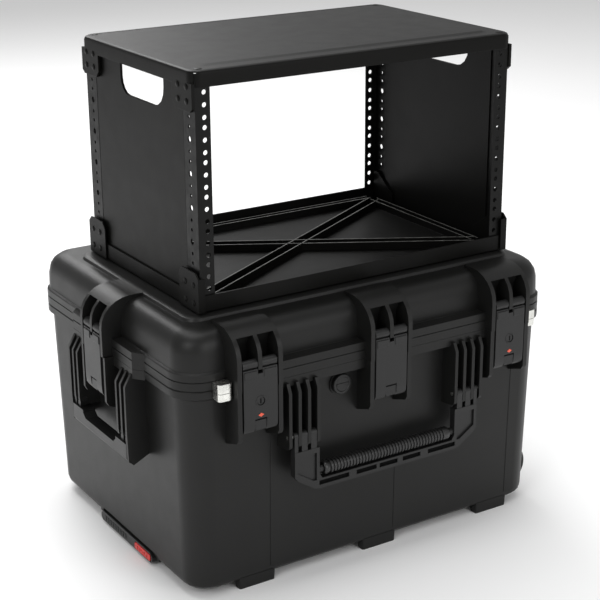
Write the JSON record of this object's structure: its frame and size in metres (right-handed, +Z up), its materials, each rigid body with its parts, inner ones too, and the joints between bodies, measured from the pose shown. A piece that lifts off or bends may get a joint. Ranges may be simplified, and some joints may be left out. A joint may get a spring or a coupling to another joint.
{
  "type": "equipment rack case",
  "caption": "Wheeled moulded equipment case with hinged lid, draw latches, folding handles and pull-out tow handle, with a lift-off steel and plastic rack cage on top.",
  "frame": {"origin": "centre of the bounding box in X and Y, at the floor under the feet", "axes": "+X to the right seen from the front, +Y towards the lid hinge at the back, +Z up"},
  "size_m": [0.651, 0.509, 0.7023],
  "materials": {
    "shell_plastic": "black moulded polypropylene, finely textured",
    "fitting_plastic": "black moulded nylon, satin",
    "cage_plastic": "dark moulded plastic, matt",
    "cage_steel": "black powder coat",
    "bright_steel": "plated steel",
    "red_plastic": "red moulded button",
    "black_rubber": "soft black rubber",
    "grey_foam": "dark grey closed-cell foam"
  },
  "bodies": {
    "base": {"base_shell": "shell_plastic", "foam_base_liner": "grey_foam", "hasp_base_left": "bright_steel", "hasp_base_right": "bright_steel", "front_handle_pin_left": "bright_steel", "front_handle_pin_right": "bright_steel", "wheel_axle_front": "bright_steel", "wheel_axle_back": "bright_steel", "tow_strap_outer": "fitting_plastic", "tow_strap_inner": "fitting_plastic"},
    "lid": {"lid_shell": "shell_plastic", "lid_seal": "black_rubber", "hasp_lid_left": "bright_steel", "hasp_lid_right": "bright_steel", "hinge_pin_left": "bright_steel", "hinge_pin_right": "bright_steel", "foam_lid_pad": "grey_foam", "latch_pin_front_left": "bright_steel", "latch_pin_front_centre": "bright_steel", "latch_pin_front_right": "bright_steel", "latch_pin_side_left": "bright_steel", "latch_pin_side_right": "bright_steel"},
    "latch_front_left": {"latch_front_left": "fitting_plastic"},
    "trigger_front_left": {"latch_trigger_front_left": "fitting_plastic"},
    "latch_front_centre": {"latch_front_centre": "fitting_plastic"},
    "trigger_front_centre": {"latch_trigger_front_centre": "fitting_plastic"},
    "latch_front_right": {"latch_front_right": "fitting_plastic"},
    "trigger_front_right": {"latch_trigger_front_right": "fitting_plastic"},
    "latch_side_left": {"latch_side_left": "fitting_plastic"},
    "trigger_side_left": {"latch_trigger_side_left": "fitting_plastic"},
    "latch_side_right": {"latch_side_right": "fitting_plastic"},
    "trigger_side_right": {"latch_trigger_side_right": "fitting_plastic"},
    "lock_front_left": {"lock_plug_front_left": "bright_steel"},
    "lock_front_right": {"lock_plug_front_right": "bright_steel"},
    "front_handle": {"front_handle_frame": "fitting_plastic", "front_handle_grip": "black_rubber"},
    "side_handle_left": {"side_handle_left": "fitting_plastic"},
    "side_handle_right": {"side_handle_right": "fitting_plastic"},
    "tow_handle": {"tow_frame": "cage_steel", "tow_grip": "fitting_plastic"},
    "tow_release": {"tow_button": "red_plastic"},
    "wheel_front": {"wheel_hub_front": "fitting_plastic", "wheel_tyre_front": "black_rubber"},
    "wheel_back": {"wheel_hub_back": "fitting_plastic", "wheel_tyre_back": "black_rubber"},
    "valve": {"valve_cap": "fitting_plastic"},
    "rack_cage": {"cage_tray": "cage_plastic", "cage_top": "cage_plastic", "cage_panel_left": "cage_plastic", "cage_panel_right": "cage_plastic", "rack_post_front_left": "cage_steel", "rack_post_back_left": "cage_steel", "rack_post_front_right": "cage_steel", "rack_post_back_right": "cage_steel", "cage_bracket_front_left": "cage_plastic", "cage_bracket_back_left": "cage_plastic", "cage_bracket_front_right": "cage_plastic", "cage_bracket_back_right": "cage_plastic"}
  },
  "joints": [
    {"name": "lid_hinge", "type": "hinge", "parent": "base", "child": "lid", "pos_m": [0, 0.2465, 0.304], "axis": [-1, 0, 0], "range_deg": [0, 100]},
    {"name": "latch_front_left_hinge", "type": "hinge", "parent": "lid", "child": "latch_front_left", "pos_m": [-0.2035, -0.2475, 0.338], "axis": [-1, 0, 0], "range_deg": [0, 95]},
    {"name": "trigger_front_left_hinge", "type": "hinge", "parent": "latch_front_left", "child": "trigger_front_left", "pos_m": [-0.2035, -0.251, 0.261], "axis": [-1, 0, 0], "range_deg": [0, 12], "stiffness_Nm_per_rad": 0.05},
    {"name": "latch_front_centre_hinge", "type": "hinge", "parent": "lid", "child": "latch_front_centre", "pos_m": [0, -0.2475, 0.338], "axis": [-1, 0, 0], "range_deg": [0, 95]},
    {"name": "trigger_front_centre_hinge", "type": "hinge", "parent": "latch_front_centre", "child": "trigger_front_centre", "pos_m": [0, -0.251, 0.261], "axis": [-1, 0, 0], "range_deg": [0, 12], "stiffness_Nm_per_rad": 0.05},
    {"name": "latch_front_right_hinge", "type": "hinge", "parent": "lid", "child": "latch_front_right", "pos_m": [0.2035, -0.2475, 0.338], "axis": [-1, 0, 0], "range_deg": [0, 95]},
    {"name": "trigger_front_right_hinge", "type": "hinge", "parent": "latch_front_right", "child": "trigger_front_right", "pos_m": [0.2035, -0.251, 0.261], "axis": [-1, 0, 0], "range_deg": [0, 12], "stiffness_Nm_per_rad": 0.05},
    {"name": "latch_side_left_hinge", "type": "hinge", "parent": "lid", "child": "latch_side_left", "pos_m": [-0.3185, -0.014, 0.338], "axis": [0, 1, 0], "range_deg": [0, 95]},
    {"name": "trigger_side_left_hinge", "type": "hinge", "parent": "latch_side_left", "child": "trigger_side_left", "pos_m": [-0.322, -0.014, 0.261], "axis": [0, 1, 0], "range_deg": [0, 12], "stiffness_Nm_per_rad": 0.05},
    {"name": "latch_side_right_hinge", "type": "hinge", "parent": "lid", "child": "latch_side_right", "pos_m": [0.3185, -0.014, 0.338], "axis": [0, -1, 0], "range_deg": [0, 95]},
    {"name": "trigger_side_right_hinge", "type": "hinge", "parent": "latch_side_right", "child": "trigger_side_right", "pos_m": [0.322, -0.014, 0.261], "axis": [0, -1, 0], "range_deg": [0, 12], "stiffness_Nm_per_rad": 0.05},
    {"name": "lock_front_left_turn", "type": "hinge", "parent": "latch_front_left", "child": "lock_front_left", "pos_m": [-0.2035, -0.254, 0.288], "axis": [0, 1, 0], "range_deg": [0, 90]},
    {"name": "lock_front_right_turn", "type": "hinge", "parent": "latch_front_right", "child": "lock_front_right", "pos_m": [0.2035, -0.254, 0.288], "axis": [0, 1, 0], "range_deg": [0, 90]},
    {"name": "front_handle_hinge", "type": "hinge", "parent": "base", "child": "front_handle", "pos_m": [0, -0.245, 0.221], "axis": [-1, 0, 0], "range_deg": [0, 100]},
    {"name": "side_handle_left_hinge", "type": "hinge", "parent": "base", "child": "side_handle_left", "pos_m": [-0.314, -0.014, 0.208], "axis": [0, 1, 0], "range_deg": [0, 100]},
    {"name": "side_handle_right_hinge", "type": "hinge", "parent": "base", "child": "side_handle_right", "pos_m": [0.314, -0.014, 0.208], "axis": [0, -1, 0], "range_deg": [0, 100]},
    {"name": "tow_handle_slide", "type": "slide", "parent": "base", "child": "tow_handle", "axis": [-1, 0, 0], "range_m": [0, 0.38]},
    {"name": "tow_button_press", "type": "slide", "parent": "tow_handle", "child": "tow_release", "axis": [1, 0, 0], "range_m": [0, 0.0022], "stiffness_N_per_m": 300},
    {"name": "wheel_front_spin", "type": "hinge", "parent": "base", "child": "wheel_front", "pos_m": [0.266, -0.176, 0.048], "axis": [0, 1, 0], "continuous": true},
    {"name": "wheel_back_spin", "type": "hinge", "parent": "base", "child": "wheel_back", "pos_m": [0.266, 0.176, 0.048], "axis": [0, 1, 0], "continuous": true},
    {"name": "valve_turn", "type": "hinge", "parent": "base", "child": "valve", "pos_m": [-0.062, -0.2274, 0.27], "axis": [0, -1, 0], "range_deg": [0, 90]},
    {"name": "rack_cage_lift", "type": "slide", "parent": "lid", "child": "rack_cage", "axis": [0, 0, 1], "range_m": [0, 0.42]}
  ]
}
